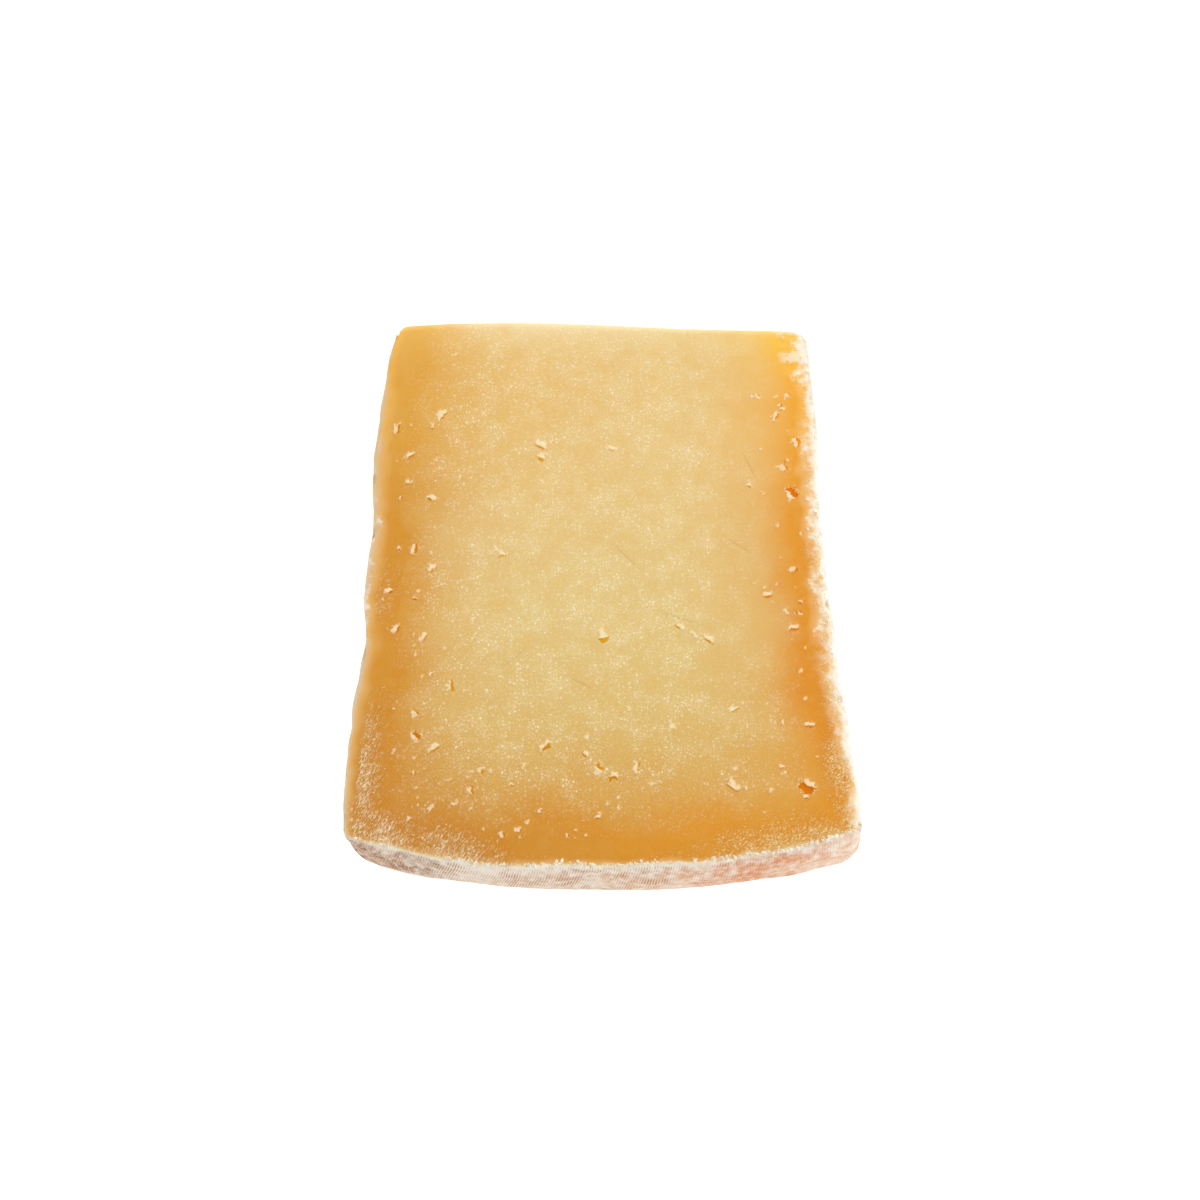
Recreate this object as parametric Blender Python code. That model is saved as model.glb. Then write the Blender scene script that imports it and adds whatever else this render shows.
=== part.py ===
"""A portion of aged sheep milk cheese: a wedge cut from a drum-shaped wheel.

The wedge lies on one of its two cut faces, in the plane z = 0.  The axis of the wheel
runs along X, low at the back, so that the curved heel faces -Y and the thin nose +Y.
The half section of the wheel is a flat grid in the plane z = 0, which is spun about the
axis up to the other cut face.  Its rind is lumpy, its edges are worn round, and the
small irregular openings of the paste are cut into both cut faces.
"""
import math
import random

import bmesh
import bpy
from mathutils import Matrix, Vector, noise

MM = 0.001

# The wheel
WHEEL_RADIUS = 135 * MM
HEEL_BULGE = 6.5 * MM          # how much lower the rim is at the flat sides than midway
BULGE_POWER = 2.6              # above 2, the rim is flatter midway and rounder at its ends
CORNER_RADIUS = 1.6 * MM       # where the rim turns into a flat side
# Distance from the axis, and half the height of the wheel there, for either flat side
LEFT_SIDE_MM = ((6, 46.2), (14, 47.8), (24, 48.9), (42, 50.0), (60, 49.5), (76, 51.0),
                (88, 49.7), (104, 52.0), (135, 52.5))
RIGHT_SIDE_MM = ((6, 47.0), (14, 48.0), (24, 48.4), (60, 48.0), (78, 48.7), (93, 49.4),
                 (108, 50.8), (135, 52.4))
SLUMP = 4.5 * MM               # the right side leans out this much at the lower rim

# The portion
WEDGE_ANGLE = math.radians(23.2)
CUT_TWIST = math.radians(2.0)  # the upper cut is this much steeper at the right side
NOSE_LEFT = 5.8 * MM           # distance from the axis to the blunt nose
NOSE_RIGHT = 8.6 * MM
NOSE_CORNER = 2.4 * MM
NOSE_REACH = 10.5 * MM         # the edges of the nose lie nearer the axis than this
NOSE_ROUNDING = 1.7 * MM       # along its upper edge
WORN_ANGLE = math.radians(48)  # edges sharper than this are worn round
EDGE_WEAR = 0.55               # rounding of other edges, as a share of the nose's
UNDER_NOSE_WEAR = 0.25

# Grid of the half section, and steps of the spin
GRID_ACROSS = 20
GRID_ALONG = 25
SPIN_STEPS = 8
GRID_CROWDING = 0.4            # share by which the grid lines crowd towards the edges
ROWS_END = 38 * MM             # nearer the nose the sides are too low for rows of faces

# Relief of the surfaces
RIND_LUMP = 0.6 * MM
RIND_LUMP_LENGTH = 19 * MM
RIND_GRAIN = 0.35 * MM
RIND_GRAIN_LENGTH = 8 * MM
RIND_DEPTH = 7 * MM            # the lumps fade out this far into the cut face
CUT_WAVE = 0.25 * MM
CUT_WAVE_LENGTH = 24 * MM

# The larger openings of the upper cut: across, from the axis, length, width, turn
OPENINGS = (
    (-35, 31, 3.4, 2.6, 50), (-45, 34, 3.2, 1.6, 70), (-13, 39, 3.2, 1.5, 150),
    (-13, 42, 2.6, 1.5, 60), (3, 40, 2.0, 1.0, 10), (-42, 41, 2.8, 1.2, 35),
    (-42, 48, 1.8, 1.2, 20), (-37, 52, 2.4, 1.6, 160), (-40, 64, 3.4, 1.8, 85),
    (-36, 69, 2.4, 1.3, 20), (-21, 66, 3.2, 1.5, 130), (-45, 74, 2.2, 1.2, 30),
    (-43, 83, 2.8, 1.8, 60), (-37, 85, 2.6, 1.2, 25), (-31, 96, 4.2, 1.2, 95),
    (-38, 102, 2.8, 1.5, 130), (-38, 107, 3.6, 2.2, 140), (-34, 110, 3.2, 1.8, 30),
    (-11, 110, 3.6, 2.6, 150), (-24, 115, 2.2, 1.3, 60), (-26, 119, 2.2, 1.4, 110),
    (1, 86, 3.4, 2.4, 100), (0, 115, 2.6, 1.8, 140), (3, 117, 1.8, 1.2, 0),
    (8, 115, 3.0, 1.4, 90), (17, 84, 2.2, 1.1, 140), (23, 87, 3.2, 1.4, 145),
    (36, 77, 2.6, 1.5, 0), (40, 32, 3.0, 1.3, 60), (44, 39, 4.0, 2.0, 110),
    (41, 45, 3.4, 1.4, 100), (42, 52, 3.6, 2.8, 45), (42, 71, 2.4, 1.4, 60),
    (41, 85, 2.8, 1.6, 10), (42, 120, 4.2, 2.6, 160), (43, 107, 2.4, 1.2, 0),
    (27, 120, 3.4, 1.6, 150), (28, 103, 2.2, 1.1, 30), (45, 14, 5.0, 2.4, 110),
    (46, 22, 4.6, 1.8, 80), (-51, 47, 4.0, 1.4, 80), (-50, 60, 3.4, 1.6, 95),
    (-51, 88, 4.4, 1.6, 85), (50, 79, 3.6, 1.5, 95), (51, 101, 3.0, 1.4, 80),
)
OPENING_DEPTH = 0.42           # as a share of the length
OPENING_RAGGEDNESS = 0.3
CUTTER_SINK = 0.15             # how far, as a share of its depth, a cutter lies too low

# The small openings are scattered in the band under the rind, on both cuts
SCATTER_SEED = 7
SMALL_OPENINGS = 20
UNDERSIDE_OPENINGS = 14
SMALL_LENGTH_MM = (1.4, 2.4)
BAND_MM = (6, 20)              # from the rind
RIM_KEEP = 10 * MM
NOSE_KEEP = 20 * MM

PASTE_COLOUR = (0.80, 0.56, 0.22, 1.0)
PASTE_ROUGHNESS = 0.5


def between(points, position):
    """Read a value off a line through (position, value) points."""
    for (start, low), (end, high) in zip(points, points[1:]):
        if position <= end:
            return low + (high - low) * (position - start) / (end - start)
    return points[-1][1]


def smoothstep(low, high, value):
    """Turn a value into 0 below low and 1 above high, with a soft ramp between."""
    share = min(max((value - low) / (high - low), 0.0), 1.0)
    return share * share * (3 - 2 * share)


def half_height(side, radius):
    """Give half the wheel's height at a distance from its axis, on side -1 or +1."""
    points = LEFT_SIDE_MM if side < 0 else RIGHT_SIDE_MM
    return between(points, radius / MM) * MM


def crowd(share):
    """Move grid lines from -1..1 towards both ends."""
    return share * (1 + GRID_CROWDING) - GRID_CROWDING * share ** 3


def corner_drop(across, half, radius):
    """Give how far an edge falls back at a rounded corner of the section."""
    share = min(max((abs(across) - half + radius) / radius, 0.0), 1.0)
    return radius * (1 - math.sqrt(1 - share * share))


def rim_radius(across, half):
    """Give the distance from the axis to the rim, which bulges midway."""
    bulge = HEEL_BULGE * (abs(across) / half) ** BULGE_POWER
    return WHEEL_RADIUS - bulge - corner_drop(across, half, CORNER_RADIUS)


def nose_radius(across, half):
    """Give the distance from the axis to the nose, which is cut slightly askew."""
    share = 0.5 + 0.5 * across / half
    skewed = NOSE_LEFT + (NOSE_RIGHT - NOSE_LEFT) * share
    return skewed + corner_drop(across, half, NOSE_CORNER)


def section_point(u, v):
    """Place a point of the -1..1 grid in the half section: across, and from the axis."""
    across_share = crowd(u)
    along_share = 0.5 + 0.5 * crowd(v)
    half = half_height(u, NOSE_LEFT + (WHEEL_RADIUS - NOSE_LEFT) * along_share)
    across = across_share * half
    start = nose_radius(across, half)
    radius = start + (rim_radius(across, half) - start) * along_share
    return across, radius


def wheel_point(across, radius, angle):
    """Turn a point about the axis, up from the lower cut."""
    return Vector((across, -radius * math.cos(angle), radius * math.sin(angle)))


def cut_angle(across):
    """Give the angle of the upper cut above the lower one."""
    half = half_height(across, WHEEL_RADIUS)
    return WEDGE_ANGLE + CUT_TWIST * across / half


def ripple(point, length, seed):
    """Give smooth unevenness from -1 to 1 at a point, over a length."""
    return noise.noise(point / length + Vector((seed, seed, seed)))


def lump(across, radius, angle):
    """Give how far the rind stands out at a point of the wheel."""
    place = wheel_point(across, radius, angle)
    coarse = RIND_LUMP * ripple(place, RIND_LUMP_LENGTH, 3.0)
    return coarse + RIND_GRAIN * ripple(place, RIND_GRAIN_LENGTH, 8.0)


def surface_point(across, radius, share):
    """Place a point of the wheel at a share of the way from the lower to the upper cut."""
    angle = cut_angle(across) * share
    half = half_height(across, radius)
    push = lump(across, radius, angle)
    at_side = smoothstep(half - RIND_DEPTH, half, abs(across))
    rim = rim_radius(across, half)
    at_rim = smoothstep(rim - RIND_DEPTH, rim, radius)
    lean = SLUMP * max(across / half, 0) * (radius / WHEEL_RADIUS) * (1 - share)
    point = wheel_point(across + math.copysign(push * at_side, across) + lean,
                        radius + push * at_rim, angle)
    point.z += share * CUT_WAVE * ripple(point, CUT_WAVE_LENGTH, 15.0)
    return point


def build_section(bm):
    """Lay the half section of the wheel in the plane z = 0, with the axis at y = 0."""
    bmesh.ops.create_grid(bm, x_segments=GRID_ACROSS, y_segments=GRID_ALONG, size=1)
    for vert in bm.verts:
        across, radius = section_point(vert.co.x, vert.co.y)
        vert.co = wheel_point(across, radius, 0.0)


def polar(vert):
    """Give a vertex's distance from the axis, and its angle above the lower cut."""
    return math.hypot(vert.co.y, vert.co.z), math.atan2(vert.co.z, -vert.co.y)


def drop_low_rows(bm):
    """Leave the low part of both sides, and the nose, as single tall faces."""
    half_step = WEDGE_ANGLE / SPIN_STEPS / 2
    rows = []
    for edge in bm.edges:
        (radius, angle), (other_radius, other_angle) = map(polar, edge.verts)
        level = abs(angle - other_angle) < half_step
        inside = half_step < angle < WEDGE_ANGLE - half_step
        if level and inside and max(radius, other_radius) < ROWS_END:
            rows.append(edge)
    bmesh.ops.dissolve_edges(bm, edges=rows, use_verts=True)


def spin_wedge(bm):
    """Spin the section about the axis, and give every surface its relief."""
    geometry = bm.verts[:] + bm.edges[:] + bm.faces[:]
    bmesh.ops.spin(bm, geom=geometry, cent=(0, 0, 0), axis=(-1, 0, 0), dvec=(0, 0, 0),
                   angle=WEDGE_ANGLE, steps=SPIN_STEPS)
    bmesh.ops.recalc_face_normals(bm, faces=bm.faces[:])
    drop_low_rows(bm)
    for vert in bm.verts:
        radius, angle = polar(vert)
        vert.co = surface_point(vert.co.x, radius, angle / WEDGE_ANGLE)


def join_underside(bm):
    """Make the flat underside one face."""
    bm.normal_update()
    inner = [edge for edge in bm.edges if all(face.normal.z < -0.999 for face in edge.link_faces)]
    bmesh.ops.dissolve_edges(bm, edges=inner, use_verts=True)


def mark_worn_edges(bm):
    """Weigh the sharp edges by how round they are worn, most along the upper nose."""
    weight = bm.edges.layers.float.new("bevel_weight_edge")
    for edge in bm.edges:
        if edge.calc_face_angle() < WORN_ANGLE:
            continue
        middle = (edge.verts[0].co + edge.verts[1].co) / 2
        at_nose = math.hypot(middle.y, middle.z) < NOSE_REACH
        if not at_nose:
            edge[weight] = EDGE_WEAR
        elif middle.z > NOSE_ROUNDING:
            edge[weight] = 1.0
        else:
            edge[weight] = UNDER_NOSE_WEAR


def add_opening(bm, place, size, turn, seed):
    """Add one ragged lens that cuts an opening of this length and width at a place."""
    length, width = size
    depth = OPENING_DEPTH * length
    sunk = Matrix.Translation(place - Vector((0, 0, depth * CUTTER_SINK)))
    stretch = Matrix.Diagonal((length / 2, width / 2, depth, 1))
    turned = Matrix.Rotation(turn, 4, "Z")
    made = bmesh.ops.create_icosphere(bm, subdivisions=2, radius=1,
                                      matrix=sunk @ turned @ stretch)
    for vert in made["verts"]:
        offset = vert.co - place
        shift = Vector([ripple(offset, width, seed + axis * 0.37) for axis in range(3)])
        vert.co += shift * width * OPENING_RAGGEDNESS


def scatter(count, generator):
    """Draw places in the band under the rind, as across and distance from the axis."""
    places = []
    while len(places) < count:
        side = generator.choice((-1, 0, 1))
        inward = generator.uniform(*BAND_MM) * MM
        radius = generator.uniform(NOSE_KEEP, WHEEL_RADIUS - RIM_KEEP)
        across = side * (half_height(side, radius) - inward)
        if side == 0:
            across = generator.uniform(-1, 1) * half_height(1, WHEEL_RADIUS) * 0.8
            radius = rim_radius(across, half_height(1, WHEEL_RADIUS)) - inward
        places.append((across, radius))
    return places


def build_openings():
    """Make the cutter of all openings: ragged lenses on the upper and the lower cut."""
    generator = random.Random(SCATTER_SEED)
    bm = bmesh.new()
    for index, (across, radius, length, width, turn) in enumerate(OPENINGS):
        place = surface_point(across * MM, radius * MM, 1.0)
        add_opening(bm, place, (length * MM, width * MM), math.radians(turn), index)
    for share, count in ((1.0, SMALL_OPENINGS), (0.0, UNDERSIDE_OPENINGS)):
        for across, radius in scatter(count, generator):
            length = generator.uniform(*SMALL_LENGTH_MM) * MM
            width = length * generator.uniform(0.45, 0.75)
            turn = generator.uniform(0, math.pi)
            place = surface_point(across, radius, share)
            add_opening(bm, place, (length, width), turn, 100 * generator.random())
    mesh = bpy.data.meshes.new("opening_cutter")
    bm.to_mesh(mesh)
    bm.free()
    cutter = bpy.data.objects.new("opening_cutter", mesh)
    cutter.hide_render = True
    cutter.display_type = "WIRE"
    return cutter


def paste_material():
    """Give the firm straw-yellow paste its colour and dull gloss."""
    material = bpy.data.materials.new("sheep_milk_paste")
    material.use_nodes = True
    shader = material.node_tree.nodes["Principled BSDF"]
    shader.inputs["Base Color"].default_value = PASTE_COLOUR
    shader.inputs["Roughness"].default_value = PASTE_ROUGHNESS
    shader.inputs["Metallic"].default_value = 0.0
    return material


def build_wedge():
    """Make the wedge, with worn edges and with the openings cut into it."""
    bm = bmesh.new()
    build_section(bm)
    spin_wedge(bm)
    join_underside(bm)
    mark_worn_edges(bm)
    mesh = bpy.data.meshes.new("cheese_wedge")
    bm.to_mesh(mesh)
    bm.free()
    mesh.materials.append(paste_material())
    wedge = bpy.data.objects.new("cheese_wedge", mesh)

    edges = wedge.modifiers.new("worn_edges", "BEVEL")
    edges.width = NOSE_ROUNDING
    edges.segments = 2
    edges.limit_method = "WEIGHT"

    cutter = build_openings()
    openings = wedge.modifiers.new("openings", "BOOLEAN")
    openings.operation = "DIFFERENCE"
    openings.solver = "EXACT"
    openings.use_self = True
    openings.object = cutter
    return wedge, cutter


def main():
    for old in list(bpy.data.objects):
        bpy.data.objects.remove(old)
    wedge, cutter = build_wedge()
    corners = [Vector(corner) for corner in wedge.bound_box]
    middle = (corners[0] + corners[6]) / 2
    for item in (wedge, cutter):
        item.location = (-middle.x, -middle.y, 0)
        bpy.context.collection.objects.link(item)


main()
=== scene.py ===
"""A wedge of aged sheep milk cheese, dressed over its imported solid.

The wedge is a radial slice of a wheel that lies on one cut face and is seen from
straight above: straw-yellow paste that browns towards the rind, small torn openings
with pale flakes, a brushed clothbound rind with bloom on the heel and both flat
sides, and crumbs along the worn edges.
"""
import functools
import math
import random
import types

import bpy
import numpy as np
from mathutils import Euler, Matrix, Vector, noise


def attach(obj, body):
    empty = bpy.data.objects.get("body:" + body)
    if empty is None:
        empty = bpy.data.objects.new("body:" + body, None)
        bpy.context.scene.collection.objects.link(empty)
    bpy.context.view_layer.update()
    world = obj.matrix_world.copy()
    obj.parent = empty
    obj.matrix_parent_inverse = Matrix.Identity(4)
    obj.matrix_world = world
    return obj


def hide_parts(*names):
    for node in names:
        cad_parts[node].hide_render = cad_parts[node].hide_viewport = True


bl_info = {
    "name": "Sheep Milk Cheese Wedge",
    "version": (1, 0, 0),
    "blender": (4, 5, 0),
    "location": "3D View > Sidebar > Cheese",
    "description": "Models and dresses a wedge of aged sheep milk cheese",
    "category": "Add Mesh",
}

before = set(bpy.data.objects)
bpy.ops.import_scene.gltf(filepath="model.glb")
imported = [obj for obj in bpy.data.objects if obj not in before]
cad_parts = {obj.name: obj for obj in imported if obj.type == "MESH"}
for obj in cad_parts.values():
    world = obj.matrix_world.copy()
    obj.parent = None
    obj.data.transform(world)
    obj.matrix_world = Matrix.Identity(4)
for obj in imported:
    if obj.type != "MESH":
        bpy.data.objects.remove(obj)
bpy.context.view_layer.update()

MM = 0.001

# Shape of the wheel: half its height on both sides, by distance from its axis
LEFT_SIDE_MM = ((6, 46.2), (14, 47.8), (24, 48.9), (42, 50.0), (60, 49.5), (76, 51.0),
                (88, 49.7), (104, 52.0), (135, 52.5))
RIGHT_SIDE_MM = ((6, 47.0), (14, 48.0), (24, 48.4), (36, 48.6), (54, 48.6), (78, 48.7),
                 (93, 49.6), (108, 51.2), (135, 52.4))
# By place across: how far the nose bows back, and how far the heel's upper edge flares
NOSE_BOW_MM = ((-48, 0), (-42, 0.5), (-34, 1.2), (-24, 1.6), (-16, 1.8), (0, 1.4), (16, 0.7),
               (30, 0.4), (40, 0.4), (48, 0))
FLARE_MM = ((-48, 0), (-34, 0.1), (-24, 0.7), (20, 0.85), (42, 1.35), (52, 1.35))
BULGE_POWER = 2.6              # above 2, the rim is flatter midway and rounder at its ends
CORNER_RADIUS = 1.6 * MM       # where the rim turns into a flat side
NOSE_CORNER = 2.4 * MM
AXIS = Vector((-2.1 * MM, 70.4 * MM, 0))        # a point of the wheel's axis

# Unevenness: how far, over what length, and which draw
RIND_LUMPS = ((0.6 * MM, 19 * MM, 3.0), (0.35 * MM, 8 * MM, 8.0))
RIND_PITTING = ((0.12 * MM, 3.1 * MM, 12.0), (0.06 * MM, 1.5 * MM, 14.0))
RIND_DEPTH = 7 * MM
CUT_WAVES = ((0.25 * MM, 24 * MM, 15.0),)
CUT_GRAIN = ((0.05 * MM, 5 * MM, 17.0),)

# Grid of the fine mesh
GRID_ACROSS = 145
GRID_ALONG = 170
ROWS = 28
UNDERSIDE_STRIDE = 5           # the hidden underside keeps every fifth grid line
GRID_CROWDING = 0.25
ROW_CROWDING = 0.4
TOUCH = 0.001 * MM
TOP_SHARE = 1 - 1e-6           # points above this share of the way up are on the upper cut
BODY_SMOOTH = math.radians(50)  # edges sharper than this stay sharp
CRUMB_SMOOTH = math.radians(40)

# Openings of the upper cut in mm: across, from the axis, length and width of the torn
# flake, its turn in degrees, and how wide the cavity beside it gapes
OPENINGS = (
    (-35, 31, 3.4, 1.6, 50, 0.4), (-45, 34, 3.2, 1.0, 70, 0.5), (-13, 39, 3.0, 1.6, 150, 0.6),
    (-13, 42, 2.2, 1.2, 165, 0.6), (3, 40, 2.0, 1.0, 10, 0.3), (-42, 41, 2.8, 1.0, 35, 0.3),
    (-42, 48, 1.8, 1.0, 20, 0.3), (-37, 52, 2.4, 1.4, 160, 0.4), (-40, 64, 3.0, 1.0, 82, 0.8),
    (-36, 69, 2.4, 1.3, 30, 0.5), (-21, 66, 2.0, 1.4, 20, 0.35), (-45, 74, 2.2, 1.0, 30, 0.3),
    (-43, 83, 2.8, 1.2, 60, 0.45), (-37, 85, 2.6, 1.2, 50, 0.45), (-31, 96, 3.4, 0.8, 95, 0.6),
    (-38, 102, 2.4, 1.2, 130, 0.4), (-38, 107, 2.6, 1.0, 125, 1.1), (-34, 110, 2.8, 1.5, 35, 0.5),
    (-11, 110, 3.2, 1.0, 60, 0.9), (-3, 112, 1.8, 1.0, 140, 0.4), (-24, 115, 1.6, 1.0, 60, 0.6),
    (-26, 119, 2.2, 1.0, 110, 0.5), (1, 86, 2.8, 1.8, 20, 1.0), (0, 115, 2.4, 1.3, 135, 0.9),
    (3, 117, 2.0, 1.3, 160, 0.9), (8, 115, 2.6, 1.0, 90, 0.4), (17, 84, 2.2, 1.1, 140, 0.35),
    (23, 87, 3.2, 1.2, 145, 0.4), (36, 77, 2.4, 1.2, 20, 0.5), (40, 32, 3.0, 1.0, 60, 0.5),
    (44, 39, 2.8, 1.2, 105, 0.9), (41, 45, 3.0, 1.2, 100, 0.5), (42, 52, 3.0, 1.4, 130, 1.9),
    (42, 71, 1.8, 1.2, 60, 0.7), (41, 85, 2.6, 1.2, 10, 0.5), (42, 120, 3.6, 1.4, 150, 1.8),
    (43, 107, 2.4, 0.8, 0, 0.4), (27, 120, 3.2, 1.4, 150, 0.3), (28, 103, 2.0, 0.9, 30, 0.35),
)
EDGE_CHIPS = ((-50, 47, 2.6, 1.0, 80), (-49.6, 60, 2.2, 1.0, 95), (-50.4, 88, 2.8, 1.0, 85),
              (49, 79, 2.4, 1.0, 95), (50.4, 101, 2.0, 1.0, 80))
CHIP_DEPTH = 0.8               # mm
FLAKE_RISE = 0.25
SPOT_MARGIN = 0.3              # how far beyond a torn spot the mesh is fine
SPOT_CUTS = 3                  # a torn spot's cells are cut into four by four

# Pale flecks of torn paste that lie on the upper cut, given as the openings are
FLECKS = (
    (-46, 74, 2.4, 1.0, 55), (-45, 83, 1.6, 1.0, 20), (-43, 83, 2.4, 1.2, 60),
    (-37, 85, 2.6, 1.1, 30), (-37, 94, 1.6, 0.9, 70), (-38, 102, 2.2, 1.1, 130),
    (-42, 110, 2.4, 1.0, 65), (-34, 110, 2.6, 1.3, 30), (-31, 117, 2.4, 1.2, 10),
    (-34, 123, 4.0, 1.6, 50), (-29, 122, 2.4, 1.6, 70), (-26, 123, 1.8, 1.0, 30),
    (-22, 115, 2.0, 1.2, 100), (-14, 126, 1.8, 1.2, 80), (-15, 114, 2.8, 1.4, 75),
    (-2, 108, 2.4, 2.0, 100), (0, 125, 2.0, 1.2, 150), (15, 107, 3.0, 2.2, 20),
    (27, 119, 3.6, 1.6, 140), (30, 120, 2.0, 1.0, 70), (28, 116, 1.6, 1.2, 60),
    (31, 124, 2.0, 0.6, 50), (11, 119, 2.0, 1.4, 20), (2, 123, 2.0, 1.4, 10),
    (4, 124, 1.8, 1.0, 150), (38, 117, 2.2, 1.6, 120), (35, 121, 1.6, 1.2, 40),
    (38, 106, 1.8, 0.9, 100), (43, 101, 1.8, 1.0, 60), (-13, 43, 1.8, 1.2, 80),
    (-22, 64, 3.4, 1.5, 125), (1, 84, 2.2, 1.6, 60), (-37, 33, 1.8, 1.4, 60),
    (-36, 42, 2.0, 1.2, 70), (-33, 15, 2.6, 0.8, 20), (20, 86, 3.0, 1.4, 150),
    (39, 60, 1.6, 1.0, 60), (36, 52, 1.8, 1.2, 30), (40, 27, 2.0, 1.0, 20), (42, 95, 2.0, 1.2, 40),
    (44, 62, 2.0, 1.4, 100), (33, 49, 1.8, 0.8, 160),
)
SCATTER_SEED = 7
SMALL_OPENINGS = 26
BAND_MM = (5, 18)              # how deep under the rind the small openings lie
RIM_KEEP = 10 * MM
NOSE_KEEP = 20 * MM

# Drag marks of the knife in mm: across and from the axis, length, turn in degrees
KNIFE_MARKS = ((33.1, 44.6, 11, -69), (16.6, 81.5, 15, -20), (5.9, 66.8, 13, -47),
               (29.8, 64.4, 10, -38), (-4.0, 96.0, 9, -30), (-18.0, 90.0, 7, 40))

# Heaps of larger crumbs on the heel's edge: across in mm, and how many
CRUMB_HEAPS = ((-27, 6), (-8, 5), (-3, 6), (10, 9), (19, 8), (25, 6), (41, 5))
CRUMB_SEED = 31
HEEL_CRUMBS = 0.85             # share of the other crumbs that lie on the heel's edge

THREAD_SPACING = 0.62 * MM     # threads of the cloth pressed ridges this far apart
THREAD_LEAN = 0.09             # they lean a little round the rim
THREAD_FAN = 2.8               # they fan out, by this much more for each metre across
THREAD_RUN = 3                 # they swerve this many times more slowly round the rim
BRUSHING = 2.5                 # how much the brush drew out the rind's marks round the rim

# Strokes of the frost, each (turn in degrees, length and width in mm)
FROST_STROKES = ((58, 0.85, 0.27), (38, 0.5, 0.26))

# Settings that most shader nodes of a kind share here
USUAL = {"Mix": {"data_type": "RGBA"}, "Math": {"operation": "MULTIPLY"},
         "Mapping": {"vector_type": "TEXTURE"}}

# Softboxes of the studio: place and size in metres, and power in watts
SOFTBOXES = (("key_softbox", (-0.2, 0.5, 0.9), 0.6, 3.3),
             ("side_softbox", (0.8, -0.1, 0.5), 0.8, 3.2))

# Camera over the wedge, fitted to the photograph's frame
CAMERA_AIM = Vector((-1.853 * MM, -0.015 * MM, 20 * MM))
CAMERA_DISTANCE = 384.64 * MM
CAMERA_ELEVATION = math.radians(88)
CAMERA_LENS = 52.6             # mm, on a sensor 36 mm wide


def linear(hex_colour):
    """Turn an sRGB hex colour into linear red, green, blue and alpha."""
    shares = [int(hex_colour[i:i + 2], 16) / 255 for i in (0, 2, 4)]
    return tuple(c / 12.92 if c <= 0.04045 else ((c + 0.055) / 1.055) ** 2.4
                 for c in shares) + (1.0,)


def length_property(name, description, mm):
    """Give a property for a length."""
    return bpy.props.FloatProperty(name=name, description=description, default=mm * MM,
                                   unit="LENGTH")


def angle_property(name, description, degrees):
    """Give a property for an angle."""
    return bpy.props.FloatProperty(name=name, description=description,
                                   default=math.radians(degrees), subtype="ANGLE")


def colour_property(name, description, hex_colour):
    """Give a property for a colour."""
    return bpy.props.FloatVectorProperty(name=name, description=description, size=4, min=0,
                                         max=1, default=linear(hex_colour), subtype="COLOR")


class CheeseSizes(bpy.types.PropertyGroup):
    """Sizes of the wedge, and how much is torn or crumbled."""
    wheel_radius: length_property(
        "Wheel radius", "From the wheel's axis to the middle of the rim", 135)
    heel_bulge: length_property("Heel bulge", "How far the rim stands out midway", 6.5)
    wedge_angle: angle_property("Wedge angle", "Angle between the two cuts midway", 23.2)
    cut_twist: angle_property(
        "Cut twist", "How much steeper the upper cut is at the right", 2.0)
    slump: length_property("Slump", "How far the right side leans out at its lower rim", 4.5)
    nose_left: length_property(
        "Nose at left", "From the axis to the cut-off tip, at the left", 6.4)
    nose_right: length_property(
        "Nose at right", "From the axis to the cut-off tip, at the right", 8.0)
    nose_wear: length_property("Nose wear", "Radius of the worn upper edge of the nose", 2.8)
    edge_wear: length_property(
        "Edge wear", "Radius of the worn edges between cut and rind", 1.0)
    flecks: bpy.props.IntProperty(
        name="Flecks", description="Small pale flecks scattered under the rind", default=70)
    edge_crumbs: bpy.props.IntProperty(
        name="Edge crumbs", description="Crumbs that cling to the edges of the upper cut",
        default=1500)


class CheeseColours(bpy.types.PropertyGroup):
    """Colours of the paste and the rind."""
    core: colour_property("Core", "Straw-yellow paste in the middle of the wheel", "E6C987")
    under_rind: colour_property(
        "Under the rind", "Orange-brown paste that dried under the rind", "D08C2C")
    bloom: colour_property("Bloom", "Pale dusty bloom on the rind", "F7EDDF")


def read(items, name, width=1, kind=np.float32):
    """Read one property of all of a mesh's items as an array of rows."""
    values = np.empty(len(items) * width, kind)
    items.foreach_get(name, values)
    return values.reshape(-1, width)


def ripple(points, length, seed):
    """Give smooth unevenness from -1 to 1 at each point."""
    return np.array([noise.noise(place) for place in (points / length + seed).tolist()])


def roughen(points, waves):
    """Add up several waves of unevenness, each (height, length, seed)."""
    return sum(height * ripple(points, length, seed) for height, length, seed in waves)


def smoothstep(low, high, value):
    """Turn values into 0 at low and 1 at high, with a soft ramp between."""
    share = np.clip((value - low) / (high - low), 0, 1)
    return share * share * (3 - 2 * share)


def over_mm(low, high, length):
    """Turn lengths into 0 at low and 1 at high, both in mm, with a soft ramp between."""
    return smoothstep(low * MM, high * MM, length)


def crowd(share, amount):
    """Move grid lines from -1..1 towards both ends."""
    return share * (1 + amount) - amount * share ** 3


def half_height(side, radius):
    """Give half the wheel's height at a distance from its axis, by the sign of side."""
    left, right = (np.array(points) * MM for points in (LEFT_SIDE_MM, RIGHT_SIDE_MM))
    return np.where(side < 0, np.interp(radius, left[:, 0], left[:, 1]),
                    np.interp(radius, right[:, 0], right[:, 1]))


def corner_drop(across, half, radius):
    """Give how far an edge falls back at a rounded corner of the section."""
    share = np.clip((np.abs(across) - half + radius) / radius, 0, 1)
    return radius * (1 - np.sqrt(1 - share * share))


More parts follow.
